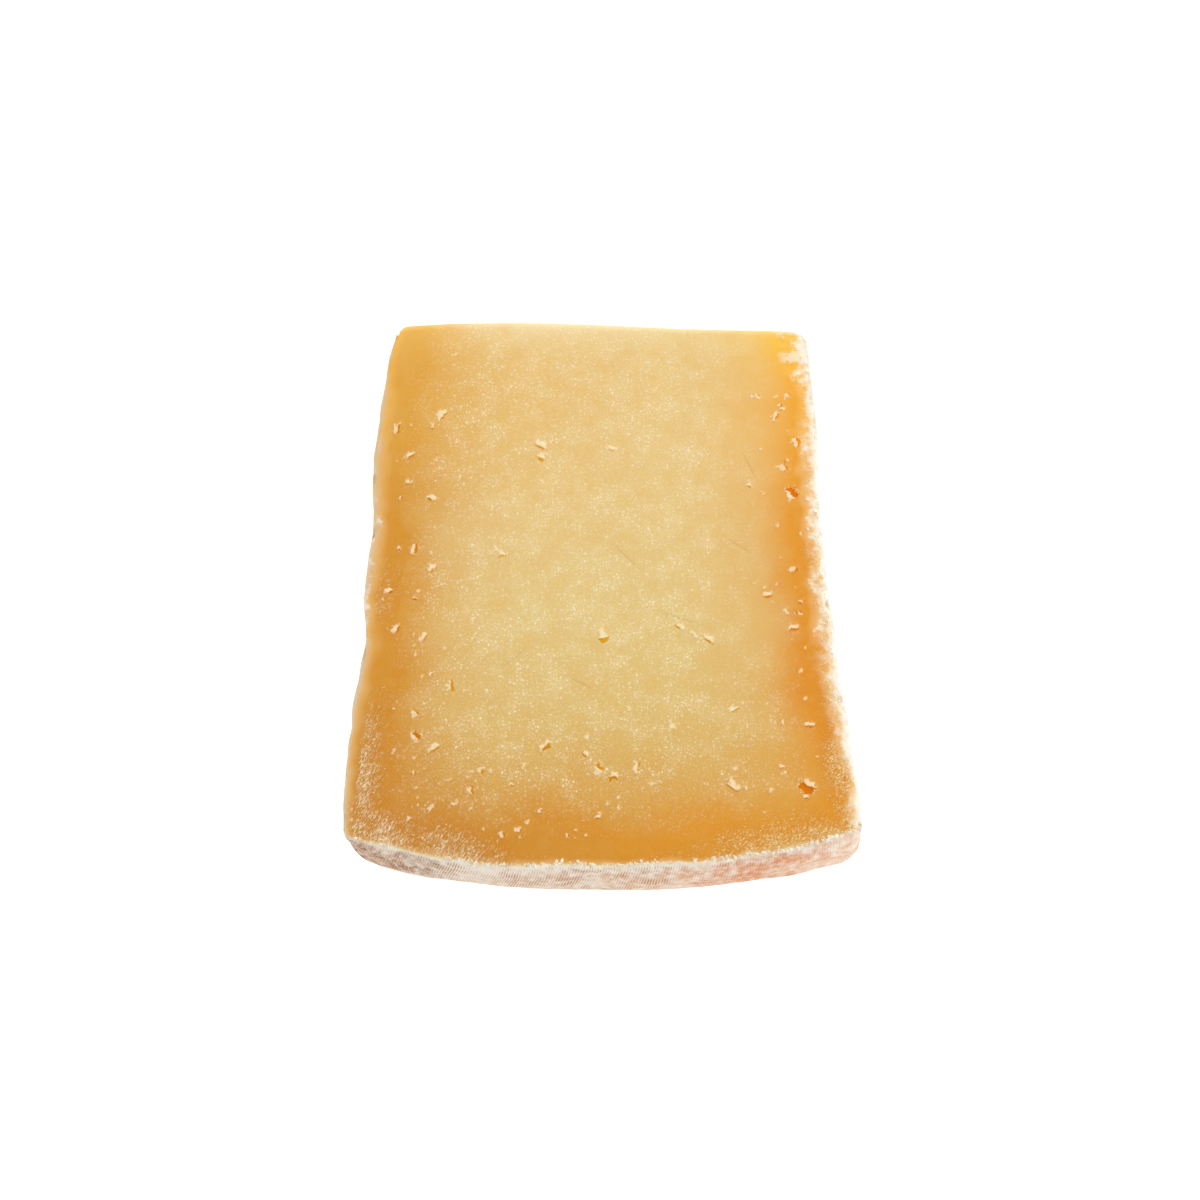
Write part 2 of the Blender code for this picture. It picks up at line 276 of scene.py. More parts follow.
def rim_radius(across):
    """Give the distance from the axis to the rim."""
    sizes = bpy.context.scene.cheese_sizes
    half = half_height(across, sizes.wheel_radius)
    share = np.clip(np.abs(across) / half, 0, 1)
    bulge = sizes.heel_bulge * share ** BULGE_POWER
    return sizes.wheel_radius - bulge - corner_drop(across, half, CORNER_RADIUS)


def nose_radius(across):
    """Give the distance from the axis to the nose, which is cut slightly askew."""
    sizes = bpy.context.scene.cheese_sizes
    half = half_height(across, sizes.nose_left)
    share = np.clip(0.5 + 0.5 * across / half, 0, 1)
    skewed = sizes.nose_left + (sizes.nose_right - sizes.nose_left) * share
    bowed = skewed - np.interp(across / MM, *np.array(NOSE_BOW_MM).T) * MM
    return bowed + corner_drop(across, half, NOSE_CORNER)


def cut_angle(across):
    """Give the angle of the upper cut above the lower one."""
    sizes = bpy.context.scene.cheese_sizes
    return sizes.wedge_angle + sizes.cut_twist * across / half_height(across, sizes.wheel_radius)


def wheel_point(across, radius, angle=0):
    """Turn points about the wheel's axis, up from the lower cut."""
    return np.stack([across, -radius * np.cos(angle), radius * np.sin(angle)], axis=-1)


def rind_push(across, radius, angle):
    """Give how far the rind stands out at points of the wheel."""
    return roughen(wheel_point(across, radius, angle), RIND_LUMPS)


def rim_flare(across, share):
    """Give how far the rim stands out under the upper cut, by the share of the way up."""
    return np.interp(across / MM, *np.array(FLARE_MM).T) * MM * smoothstep(0.5, 1.0, share)


def edge_radius(across, radius):
    """Give the radius of the worn edges, which crumble most at the right and the nose."""
    uneven = 1 + 0.5 * ripple(wheel_point(across, radius), 4 * MM, 41.0)
    crumbled = over_mm(30, 46, across)
    return bpy.context.scene.cheese_sizes.edge_wear * uneven * (1 + 0.7 * crumbled)


def round_edge(wall_gap, cut_gap, wear):
    """Give the moves in from a wall and in from a cut that round the edge between them."""
    on_cut = cut_gap < TOUCH
    gap = np.where(on_cut, wall_gap, cut_gap)
    share = np.clip(gap / wear, 0, 1)
    turn = (1 - share) * math.pi / 4
    near = (on_cut | (wall_gap < TOUCH)) & (share < 1)
    along = np.where(near, wear * (1 - np.sin(turn)) - gap, 0)
    into = np.where(near, wear * (1 - np.cos(turn)), 0)
    return np.where(on_cut, along, into), np.where(on_cut, into, along)


def meal(across, radius):
    """Give how mealy the upper cut is: broken into lumps along the right rind."""
    gap = half_height(across, radius) - across
    place = wheel_point(across, radius)
    reach = (3.4 + 2.2 * ripple(place, 11 * MM, 51.0)) * MM
    corner = over_mm(27, 14, radius)
    reach = reach + 4 * MM * corner - 2 * MM * over_mm(100, 116, radius)
    near = smoothstep(reach + 1.5 * MM, reach - 1.5 * MM, gap) * (0.6 + 0.4 * corner)
    lumps = ripple(place, 2.2 * MM, 53.0) + 0.5 * ripple(place, 0.9 * MM, 55.0)
    return near * (across > 0), lumps + corner * ripple(place, 3.4 * MM, 57.0)


def surface(across, radius, share):
    """Place points of the wheel at a share of the way from the lower to the upper cut."""
    sizes = bpy.context.scene.cheese_sizes
    angle = cut_angle(across) * share
    half = half_height(across, radius)
    rim = rim_radius(across)
    gaps = (half - np.abs(across), rim - radius, radius - nose_radius(across))
    cut_gaps = ((cut_angle(across) - angle) * radius, angle * radius)
    side_in, rim_in, nose_in, sink = (np.zeros_like(across) for _ in range(4))
    wear = edge_radius(across, radius)
    for gap, moved, here in zip(gaps, (side_in, rim_in, nose_in),
                                (wear, wear, sizes.nose_wear + 0 * wear)):
        for cut_gap, edge, up in zip(cut_gaps, (here, 0.6 * here), (1, -1)):
            from_wall, from_cut = round_edge(gap, cut_gap, edge)
            moved += from_wall
            sink += up * from_cut
    place = wheel_point(across, radius, angle)
    push = rind_push(across, radius, angle) + roughen(place, RIND_PITTING)
    out = push * smoothstep(RIND_DEPTH, 0, gaps[0]) - side_in
    flared = push + rim_flare(across, share)
    grow = flared * smoothstep(RIND_DEPTH, 0, gaps[1]) - rim_in + nose_in
    lean = sizes.slump * np.maximum(across / half, 0) * (radius / sizes.wheel_radius)
    point = wheel_point(across + np.sign(across) * out + lean * (1 - share),
                        radius + grow, angle)
    near, lumps = meal(across, radius)
    on_top = share > TOP_SHARE
    sink += on_top * near * 0.22 * MM * np.clip(lumps + 0.2, 0, 1)
    rise = share * roughen(point, CUT_WAVES) + on_top * roughen(point, CUT_GRAIN)
    tilt = angle * (share > 0.5)
    point[:, 1] += -np.sin(tilt) * sink
    point[:, 2] += rise - np.cos(tilt) * sink
    return point + np.array(AXIS)


def wheel_place(points):
    """Give each point's place in the wheel: across, from the axis, and share of the way up."""
    sizes = bpy.context.scene.cheese_sizes
    x, y, z = (points - np.array(AXIS)).T
    radius = np.hypot(y, z)
    share = np.clip(np.arctan2(z, -y) / cut_angle(x), 0, 1)
    lean = sizes.slump * radius / sizes.wheel_radius * (1 - share) / half_height(x, radius)
    return np.where(x > 0, x / (1 + lean), x), radius, share


def in_edit_mode(operator, everything=False, **settings):
    """Run one operator in edit mode, on the selection or on everything."""
    bpy.ops.object.mode_set(mode="EDIT")
    if everything:
        bpy.ops.mesh.select_all(action="SELECT")
    operator(**settings)
    bpy.ops.object.mode_set(mode="OBJECT")


def select_only(mesh, corners, edges=None, faces=None):
    """Select only these edges or faces and their corners, for the operators of edit mode."""
    bpy.context.tool_settings.mesh_select_mode = (False, faces is None, edges is None)
    at_corner = np.zeros(len(mesh.vertices), bool)
    at_corner[corners.ravel()] = True
    for items, chosen in ((mesh.polygons, faces), (mesh.vertices, at_corner),
                          (mesh.edges, edges)):
        items.foreach_set("select", np.zeros(len(items), bool) if chosen is None else chosen)


def block_place(u, v):
    """Turn places of the plain block, from -1 to 1, into across and from the axis."""
    sizes = bpy.context.scene.cheese_sizes
    along = 0.5 + 0.5 * crowd(v, GRID_CROWDING)
    length = sizes.wheel_radius - sizes.nose_left
    across = crowd(u, GRID_CROWDING) * half_height(u, sizes.nose_left + length * along)
    start = nose_radius(across)
    return across, start + (rim_radius(across) - start) * along


def model_wedge(spots):
    """Model the wedge: a cube cut into a fine block, wrapped round the axis and torn.

    Gives the body, and how pale and how deep its torn spots are at each point.
    """
    bpy.ops.object.select_all(action="DESELECT")
    bpy.ops.mesh.primitive_cube_add(size=2)
    body = bpy.context.object
    body.name = "cheese_body"
    mesh = body.data
    for axis, cells in enumerate((GRID_ACROSS, GRID_ALONG, ROWS)):
        place = read(mesh.vertices, "co", 3)
        ends = read(mesh.edges, "vertices", 2, np.int32)
        crossed = place[ends[:, 0], axis] != place[ends[:, 1], axis]
        select_only(mesh, ends[crossed], edges=crossed)
        in_edit_mode(bpy.ops.mesh.subdivide_edgering, number_cuts=cells - 1,
                     interpolation="LINEAR", smoothness=0)

    place = read(mesh.vertices, "co", 3)
    ends = read(mesh.edges, "vertices", 2, np.int32)
    line = np.round((place[:, :2] + 1) / 2 * (GRID_ACROSS, GRID_ALONG)).astype(int)
    low = place[:, 2] < TOUCH - 1
    kept = (line % UNDERSIDE_STRIDE == 0).any(axis=1) | ~low
    hidden = low[ends].all(axis=1) & ~kept[ends].all(axis=1)
    select_only(mesh, ends[hidden], edges=hidden)
    in_edit_mode(bpy.ops.mesh.dissolve_edges, use_verts=True)

    refine(body, spots)
    u, v, w = read(mesh.vertices, "co", 3).astype(float).T
    across, radius = block_place(u, v)
    share = 0.5 + 0.5 * crowd(w, ROW_CROWDING)
    points = surface(across, radius, share)
    rise, pale, sunken = tear_spots(across, radius, spots)
    on_top = share > TOP_SHARE
    angle = cut_angle(across)
    points[:, 1] += np.sin(angle) * rise * on_top
    points[:, 2] += np.cos(angle) * rise * on_top
    mesh.vertices.foreach_set("co", points.ravel())
    mesh.update()
    in_edit_mode(bpy.ops.mesh.normals_make_consistent, everything=True, inside=False)
    return body, pale * on_top, sunken * on_top


def round_lump():
    """Model one round lump of radius 1, and give its points and triangles as arrays."""
    bpy.ops.object.select_all(action="DESELECT")
    bpy.ops.mesh.primitive_ico_sphere_add(subdivisions=1, radius=1)
    lump = bpy.context.object
    mesh = lump.data
    points = read(mesh.vertices, "co", 3).astype(float)
    faces = read(mesh.polygons, "vertices", 3, np.int32)
    bpy.data.objects.remove(lump)
    bpy.data.meshes.remove(mesh)
    return points, faces


def join_lumps(name, lumps):
    """Join lumps, each (points, triangles), into one mesh object."""
    points = np.concatenate([lump for lump, _ in lumps])
    starts = np.cumsum([0] + [len(lump) for lump, _ in lumps[:-1]])
    faces = np.concatenate([faces + start for (_, faces), start in zip(lumps, starts)])
    mesh = bpy.data.meshes.new(name)
    mesh.from_pydata(points.tolist(), [], faces.tolist())
    joined = bpy.data.objects.new(name, mesh)
    bpy.context.scene.collection.objects.link(joined)
    return joined


def surface_spot(across, radius, share):
    """Give the one point of the cut at a place of the wheel."""
    place = (np.array([float(value)]) for value in (across, radius, share))
    return surface(*place)[0]


def spot_place(along, beside, seed):
    """Give the points at which a torn spot's own unevenness is drawn."""
    return np.stack(np.broadcast_arrays(along, beside, 7.3 * seed), 1)


def spot_offsets(across, radius, middle, out, turn):
    """Give places in mm along a torn spot's long axis, and beside it to the lower right."""
    offset = np.stack([across / MM - middle, radius / MM - out], 1)
    sine, cosine = math.sin(math.radians(turn)), math.cos(math.radians(turn))
    beside = np.array((sine, cosine))
    return (offset @ np.array((cosine, -sine)),
            offset @ (beside * np.sign(beside.sum() + 1e-9)))


def torn_relief(along, beside, spot, seed):
    """Give a torn spot's height, how pale it is and how deep it is sunk, in mm.

    A flake stands up with a ragged edge, and beside that edge a cavity dives down.
    """
    length, width, cavity = 1.1 * spot[0], 1.25 * spot[1], 0.85 * spot[2]
    place = spot_place(along, beside, seed)
    halo = np.hypot(2 * along / length, beside / (width + 0.5 * cavity))
    halo += 0.4 * ripple(place, 1.0, 27.0)
    halo = (0.3 if cavity else 0.15) * smoothstep(1.9, 0.9, halo)
    line = spot_place(along, 0.0, seed)
    past_edge = beside - 0.35 * ripple(line, 1.1, 3.0) - 0.24 * ripple(line, 0.4, 5.0)
    reach = np.hypot(2 * along / length, np.minimum(past_edge, 0) / width)
    reach += 0.5 * ripple(place, 0.9, 11.0) + 0.3 * ripple(place, 0.35, 13.0)
    soft = 0.55 if cavity else 0.2
    flake = smoothstep(1.0, soft, reach) * smoothstep(0.1, -0.1, past_edge)
    thick = 0.3 + 0.7 * smoothstep(-width, 0, past_edge)
    facets = 0.5 * np.abs(ripple(place, 0.7, 15.0)) + 0.25 * ripple(place, 0.3, 17.0)
    rise = FLAKE_RISE * flake * (thick + facets)
    if not cavity:
        return 0.6 * rise, np.maximum(0.7 * flake, halo), 0 * flake
    hollow = np.hypot(2.3 * along / length, past_edge / cavity)
    hollow += 0.6 * ripple(place, 0.8, 9.0) + 0.5 * ripple(place, 0.35, 23.0)
    inside = smoothstep(1.0, 0.7, hollow) * smoothstep(-0.1, 0.1, past_edge)
    sunken = inside * (0.3 + 0.6 * cavity) * (1 + 0.3 * ripple(place, 0.9, 19.0))
    rim = smoothstep(0.5, 0.1, np.abs(hollow - 1.1) * cavity) * smoothstep(0, 0.1, past_edge)
    rim = rim * np.clip(2 * ripple(place, 0.6, 21.0) + 0.5, 0, 1) * min(cavity, 1)
    pale = np.maximum(np.clip(flake + 0.8 * rim, 0, 1), halo)
    return rise - 0.2 * sunken + 0.12 * rim, pale, sunken


def tear_spots(across, radius, spots):
    """Add up the height, paleness and depth of all torn spots at points of the cut."""
    rise, pale, sunken = (np.zeros_like(across) for _ in range(3))
    for seed, (middle, out, length, width, turn, cavity) in enumerate(spots):
        far = (0.9 * length + 1.5 * width + cavity) * MM
        near = np.flatnonzero(np.hypot(across - middle * MM, radius - out * MM) < far)
        if not len(near):
            continue
        along, beside = spot_offsets(across[near], radius[near], middle, out, turn)
        here = torn_relief(along, beside, (length, width, cavity), seed)
        stronger = np.abs(here[0]) > np.abs(rise[near])
        rise[near[stronger]] = here[0][stronger]
        pale[near] = np.maximum(pale[near], here[1])
        sunken[near] = np.maximum(sunken[near], here[2])
    for middle, out, length, width, turn in EDGE_CHIPS:
        along, beside = spot_offsets(across, radius, middle, out, turn)
        chipped = smoothstep(1.2, 0.4, np.hypot(2 * along / length, beside / width))
        rise -= CHIP_DEPTH * chipped
        pale = np.maximum(pale, 0.6 * chipped)
    return rise * MM, pale, sunken * MM


def refine(body, spots):
    """Cut the upper cut's cells finer where it is torn and where its right edge is mealy."""
    mesh = body.data
    middles = read(mesh.polygons, "center", 3).astype(float)
    across, radius = block_place(middles[:, 0], middles[:, 1])
    chosen = meal(across, radius)[0] > 0.45
    for middle, out, length, width, turn, cavity in spots:
        along, beside = spot_offsets(across, radius, middle, out, turn)
        chosen |= ((np.abs(along) < 0.5 * length + SPOT_MARGIN)
                   & (beside > -width - SPOT_MARGIN) & (beside < 1.2 * cavity + SPOT_MARGIN))
    chosen &= middles[:, 2] > 1 - TOUCH
    corners = read(mesh.loops, "vertex_index", kind=np.int32)[:, 0]
    sides = read(mesh.polygons, "loop_total", kind=np.int32)[:, 0]
    select_only(mesh, corners[np.repeat(chosen, sides)], faces=chosen)
    in_edit_mode(bpy.ops.mesh.select_mode, type="FACE")
    in_edit_mode(bpy.ops.mesh.subdivide, number_cuts=SPOT_CUTS, ngon=False)


def scatter(count, generator):
    """Draw places in the band under the rind, as across and distance from the axis."""
    sizes = bpy.context.scene.cheese_sizes
    places = []
    while len(places) < count:
        side = generator.choice((-1, 0, 1))
        inward = generator.uniform(*BAND_MM) * MM
        radius = generator.uniform(NOSE_KEEP, sizes.wheel_radius - RIM_KEEP)
        across = side * (float(half_height(side, radius)) - inward)
        if side == 0:
            reach = float(half_height(1, sizes.wheel_radius)) * 0.8
            across = generator.uniform(-1, 1) * reach
            radius = float(rim_radius(across)) - inward
        places.append((across, radius))
    return places


def torn_spots():
    """Gather the torn spots of the upper cut: those seen, and small scattered ones."""
    generator = random.Random(SCATTER_SEED)
    spots = list(OPENINGS) + [fleck + (0,) for fleck in FLECKS]
    for count, longest, gapes in ((SMALL_OPENINGS, 1.8, True),
                                  (bpy.context.scene.cheese_sizes.flecks, 1.4, False)):
        for across, radius in scatter(count, generator):
            length = generator.uniform(0.8, longest)
            cavity = generator.uniform(0.2, 0.4) if gapes else 0
            spots.append((across / MM, radius / MM, length, length * 0.6,
                          generator.uniform(0, 180), cavity))
    return spots


def frost_at(across, radius, side_gap, rim_gap):
    """Give how thickly whitish smears lie on the upper cut, from 0 to 1."""
    place = wheel_point(across, radius)
    patches = 0.8 + 0.5 * ripple(place, 8 * MM, 61.0) + 0.4 * ripple(place, 3 * MM, 63.0)
    left = over_mm(10, 4, side_gap) * over_mm(1.5, 3.5, side_gap)
    low = over_mm(90, 114, radius)
    scaly = 0.45 * over_mm(62, 70, radius) * over_mm(86, 78, radius)
    left = left * (across < 0) * np.maximum(low, scaly)
    reach = (5.5 + 3 * over_mm(90, 116, radius)) * MM
    right = smoothstep(reach, 0.4 * reach, side_gap) * over_mm(34, 44, radius)
    right = right * (across > 0) * (0.5 + 0.4 * over_mm(95, 118, radius))
    corner = over_mm(-12, -32, across) + over_mm(8, 34, across)
    heel = smoothstep((4 + 8 * corner) * MM, 2 * MM, rim_gap) * (0.3 + 0.6 * corner)
    return np.clip(np.maximum(np.maximum(left, right), heel) * patches, 0, 1)


def mark_surfaces(body, pale, sunken):
    """Store what the cheese's material follows, such as depth, rind, openings and frost."""
    mesh = body.data
    points = read(mesh.vertices, "co", 3).astype(float)
    across, radius, share = wheel_place(points)
    angle = share * cut_angle(across)
    push = rind_push(across, radius, angle)
    side_gap = np.maximum(half_height(across, radius) + push - np.abs(across), 0)
    rim_gap = np.maximum(rim_radius(across) + push + rim_flare(across, share) - radius, 0)
    below_cut = (cut_angle(across) - angle) * radius
    from_cut = np.minimum(below_cut, angle * radius)
    depth = (np.maximum(side_gap, 1e-5) ** -4 + np.maximum(rim_gap, 1e-5) ** -4) ** -0.25
    wall_gap = np.minimum(side_gap, rim_gap)
    fray = 1 + 0.8 * ripple(points, 1.2 * MM, 71.0)
    rind = over_mm(0.25, 1.1, from_cut * fray) * over_mm(1.6, 0.8, wall_gap)
    on_top = over_mm(2.2, 0.8, below_cut)
    near, lumps = meal(across, radius)
    on_side = side_gap < rim_gap
    midway = over_mm(102, 84, radius) * over_mm(12, 34, radius)
    at_corner = over_mm(26, 14, radius)
    at_heel = over_mm(100, 116, radius)
    right_width = 2.3 + 0.7 * ripple(points, 9 * MM, 73.0) + 1.6 * at_corner - 0.8 * at_heel
    left_width = 1.0 + 0.8 * midway
    width = np.where(on_side, np.where(across < 0, left_width, right_width), 0.8) * MM
    width = width * (1 + 0.5 * ripple(points, 3.5 * MM, 75.0))
    section = 1 - wall_gap / (2 * width)
    local = points - np.array(AXIS)
    arc = angle * radius
    leaned = across - (THREAD_LEAN - THREAD_FAN * across) * arc
    fabric = np.where(on_side[:, None], local[:, [1, 2, 0]],
                      np.stack([leaned, arc / THREAD_RUN, radius], 1))
    brushed = np.where(on_side[:, None], local, np.stack([across, arc / BRUSHING, radius], 1))
    marks = {
        "rind_depth": depth, "rind": rind, "sunken": sunken, "torn": pale, "section": section,
        "frost": frost_at(across, radius, side_gap, rim_gap) * on_top,
        "mealy": near * on_top, "lumps": lumps * on_top, "under_edge": below_cut,
        "wheel": np.stack([across, arc, radius], 1), "fabric": fabric, "brushed": brushed}
    for name, values in marks.items():
        kind, field = ("FLOAT_VECTOR", "vector") if values.ndim > 1 else ("FLOAT", "value")
        layer = mesh.attributes.new(name, kind, "POINT")
        layer.data.foreach_set(field, values.astype(np.float32).ravel())


def ramp_colour(colour):
    """Give a ramp's colour from a hex colour, or from the brightness of a grey."""
    if isinstance(colour, str):
        return linear(colour)
    return (colour,) * 3 + (1,) if isinstance(colour, (int, float)) else colour


def add(tree, kind, inputs=(), ramp=(), take=None, **settings):
    """Add a node with its settings, ramp stops and inputs, and give one output.

    Inputs are a list in the order of the node's own sockets, or a dict by socket name.
    Each is a value, a hex colour, or the output that feeds it. Ramp stops are pairs of
    a place and a colour. In their order, a noise takes its place, scale, detail and
    roughness, and a range its value, from where to where, and what these become.
    """
    node = tree.nodes.new("ShaderNode" + kind)
    for name, value in {**USUAL.get(kind, {}), **settings}.items():
        setattr(node, name, value)
    for stop, (place, colour) in enumerate(ramp):
        stops = node.color_ramp.elements
        element = stops[stop] if stop < 2 else stops.new(place)
        element.position = place
        element.color = ramp_colour(colour)
    shown = [socket for socket in node.inputs if socket.enabled]
    named = {socket.name: socket for socket in shown}
    pairs = inputs.items() if isinstance(inputs, dict) else enumerate(inputs)
    for key, value in pairs:
        socket = named[key] if isinstance(key, str) else shown[key]
        if isinstance(value, bpy.types.NodeSocket):
            tree.links.new(value, socket)
        else:
            socket.default_value = linear(value) if isinstance(value, str) else value
    if take:
        return node.outputs[take]
    return next((output for output in node.outputs if output.enabled), node)


def new_material(name):
    """Start a material with an empty node tree; give it and its node adder."""
    material = bpy.data.materials.new(name)
    material.use_nodes = True
    material.node_tree.nodes.clear()
    return material, functools.partial(add, material.node_tree)


def strength(put, pattern, span, *shares):
    """Give how strongly a pattern shows over a span, cut down by shares."""
    shown = put("MapRange", [pattern, *span])
    for share in shares:
        shown = put("Math", [shown, share])
    return shown


def tinted(put, colour, tone, pattern, span, *shares, blend_type="MIX"):
    """Lay a tone over a colour where a pattern shows."""
    shown = strength(put, pattern, span, *shares)
    return put("Mix", [shown, colour, tone], blend_type=blend_type)


def read_marks(put):
    """Read what the mesh stores at each point, and where the point lies."""
    marks = {name: put("Attribute", attribute_name=name, take="Fac") for name in (
        "rind", "rind_depth", "sunken", "torn", "section", "frost", "mealy", "lumps",
        "under_edge")}
    for name in ("wheel", "fabric", "brushed"):
        marks[name] = put("Attribute", attribute_name=name, take="Vector")
    for name, axis in (("across", "X"), ("arc", "Y"), ("radius", "Z")):
        marks[name] = put("SeparateXYZ", [marks["wheel"]], take=axis)
    return types.SimpleNamespace(place=put("TexCoord", take="Object"), **marks)


def dried_paste(put, at, to_right):
    """Give the paste's colour: straw yellow, orange brown where it dried, paler at the nose."""
    colours = bpy.context.scene.cheese_colours
    along = put("MapRange", [at.radius, 6 * MM, 132 * MM])
    # Near the nose the core and right rings start paler: partly the pale worn nose edge, partly a
    # painted highlight where that edge turns to the light
    core, left_ring, right_ring = (put("ValToRGB", [along], ramp=stops) for stops in (
        ((0, "F6E2B2"), (0.03, "F0D498"), (0.08, "EDCB8A"), (0.35, "EACA8A"),
         (0.6, colours.core), (0.8, "E0BE75"), (1, "D8AA54")),
        ((0, "F0BE60"), (0.12, "E3A038"), (0.35, "DA962E"), (0.6, "DB9526"),
         (1, colours.under_rind)),
        ((0, "FBE0A0"), (0.04, "FDC64A"), (0.15, "F6AF3C"), (0.4, "E99E32"),
         (0.75, "E39224"), (1, "E69C24"))))
    ring = put("Mix", [to_right, left_ring, right_ring])

    tide, cloud = (
        put("TexNoise", [at.place, 1 / (length * MM), detail])
        for length, detail in ((17, 3), (5, 5)))
    swing = put("MapRange", [tide, 0.2, 0.8, -4 * MM, 4 * MM])
    wider = put("MapRange", [to_right, 0, 1, 0.86, 1.06])
    shifted = put("Math", [at.rind_depth, wider, swing], operation="MULTIPLY_ADD")
    inward = put("MapRange", [shifted, 0, 30 * MM])
    browned = put("ValToRGB", [inward], ramp=(
        (0, 0.75), (0.1, 0.95), (0.2, 1), (0.32, 0.74), (0.5, 0.36), (0.75, 0.12),
        (1, 0)))
    colour = put("Mix", [browned, core, ring])

    near_nose = put("ValToRGB", [along], ramp=(
        (0.02, 0), (0.14, 0.5), (0.24, 0.42), (0.44, 0)))
    inner = put("MapRange", [at.rind_depth, 8 * MM, 26 * MM, 0.2, 1])
    for tone, *pattern in (
            ("E6B050", at.across, (14 * MM, -34 * MM), near_nose),
            ("F0DCAC", cloud, (0.48, 0.75, 0, 0.3), inner),
            ("E6B45A", cloud, (0.48, 0.25, 0, 0.25))):
        colour = tinted(put, colour, tone, *pattern)
    return colour


def crystal_specks(put, at):
    """Give how white crystals, 0.2 to 0.5 mm across, strew the paste, from 0 to 1."""
    jolt = put("TexNoise", [at.place, 1 / (0.5 * MM), 1], take="Color")
    jolted = put("VectorMath", [jolt, (0.45 * MM,) * 3, at.place], operation="MULTIPLY_ADD")
    specks = 0
    for spacing, least, most in ((2.3 * MM, 0.04, 0.14), (1.2 * MM, 0.05, 0.23),
                                 (0.7 * MM, 0.08, 0.34)):
        near, draw = (put("TexVoronoi", [jolted, 1 / spacing], take=output)
                      for output in ("Distance", "Color"))
        size = put("MapRange", [put("SeparateColor", [draw]), 0.35, 1, least, most])
        inside = put("Math", [size, near], operation="SUBTRACT")
        speck = put("MapRange", [inside, -0.05, 0.06])
        specks = put("Math", [specks, speck], operation="MAXIMUM")
    milk = put("TexNoise", [at.place, 1 / (0.4 * MM), 2, 0.6])
    milky = put("MapRange", [milk, 0.5, 0.72, 0, 0.7])
    specks = put("Math", [specks, milky], operation="MAXIMUM")
    flocks = put("TexNoise", [at.place, 1 / (5 * MM), 3])
    crowded, inner, calm, low = (put("MapRange", row) for row in (
        [flocks, 0.38, 0.6, 0.35, 1], [at.rind_depth, 5 * MM, 18 * MM, 0.05, 1],
        [at.across, 18 * MM, 34 * MM, 1, 0.3], [at.radius, 70 * MM, 100 * MM, 0, 0.7]))
    spread = put("Math", [calm, low], operation="MAXIMUM")
    for share in (crowded, inner, spread):
        specks = put("Math", [specks, share])
    return specks


def knife_marks(put, at):
    """Give the thin marks that the knife dragged through the paste, from 0 to 1."""
    marked = 0
    for across, radius, length, turn in KNIFE_MARKS:
        own = put("Mapping", {
            "Vector": at.wheel, "Location": (across * MM, 0, radius * MM),
            "Rotation": (0, math.radians(turn), 0),
            "Scale": (0.5 * length * MM, 1, 0.35 * MM)})
        mark = put("TexGradient", {"Vector": own}, gradient_type="SPHERICAL", take="Fac")
        marked = put("Math", [marked, mark], operation="MAXIMUM")
    return marked


def smeared_frost(put, at):
    """Give how thickly frost lies, in short strokes that lean up to the right."""
    strokes = []
    for turn, length, width in FROST_STROKES:
        leaned = put("Mapping", {"Vector": at.place, "Rotation": (0, 0, math.radians(turn)),
                                 "Scale": (length * MM, width * MM, 1 * MM)})
        strokes.append(put("TexNoise", {"Vector": leaned, "Scale": 1, "Detail": 4,
                                        "Roughness": 0.8, "Distortion": 0.6}))
    to_right = put("MapRange", [at.across, -20 * MM, 20 * MM])
    smears = put("Mix", [to_right, *strokes], data_type="FLOAT")
    low = put("ValToRGB", [at.frost], ramp=((0, 0.9), (0.1, 0.63), (0.4, 0.56), (0.8, 0.5)))
    raised = put("Math", [smears, low], operation="SUBTRACT")
    most = put("MapRange", [to_right, 0, 1, 0.82, 0.9])
    return strength(put, raised, (-0.01, 0.05), most)


def bordered(put, at, colour, clumps, to_right):
    """Lay the rind's own thickness over a colour, as a pale layer along the cut's border that
    whitens towards the right partly as a painted highlight, with a painted glow of lit paste just
    inside it.
    """
    # The layer's colours whiten towards the right: partly the pale rind layer, partly a painted
    # highlight
    layer, outer = (put("ValToRGB", [to_right], ramp=stops) for stops in (
        ((0, "DDB981"), (0.5, "F8EACC"), (1, "FBE0B6")),
        ((0, "E3C8A0"), (0.5, "FDF2DC"), (1, "FFF9EF"))))
    at_heel = (at.radius, (125 * MM, 131 * MM))
    layer = tinted(put, layer, "F9E4B0", *at_heel)
    outer = tinted(put, outer, "FFF6E4", *at_heel)
    layer = tinted(put, layer, outer, at.section, (0.55, 0.9))
    # Painted glow: the paste just inside the border is painted as if lit through, more at the
    # right
    glow = put("MapRange", [to_right, 0, 1, 0.4, 0.7])
    from_nose = put("MapRange", [at.radius, 0, 60 * MM])
    halo = put("ValToRGB", [from_nose], ramp=((0.3, "FFC850"), (0.75, "F8CF8C")))
    colour = tinted(put, colour, halo, at.section, (-0.1, 0.6), glow)

    fray = put("MapRange", [to_right, 0, 1, 0.8, 2.2])
    frayed = put("Math", [clumps, 0.5], operation="SUBTRACT")
    frayed = put("Math", [frayed, fray, at.section], operation="MULTIPLY_ADD")
    edge = put("MapRange", [frayed, 0.42, 0.82])
    colour = put("Mix", [edge, colour, layer])
    along = put("MapRange", [at.radius, 0, 132 * MM])
    midway = put("ValToRGB", [along], ramp=((0.36, 0), (0.42, 1), (0.58, 1), (0.66, 0)))
    where = put("Math", [midway, to_right], operation="MAXIMUM")
    return tinted(put, colour, "FAF1E4", clumps, (0.5, 0.64, 0, 0.7), edge, where)


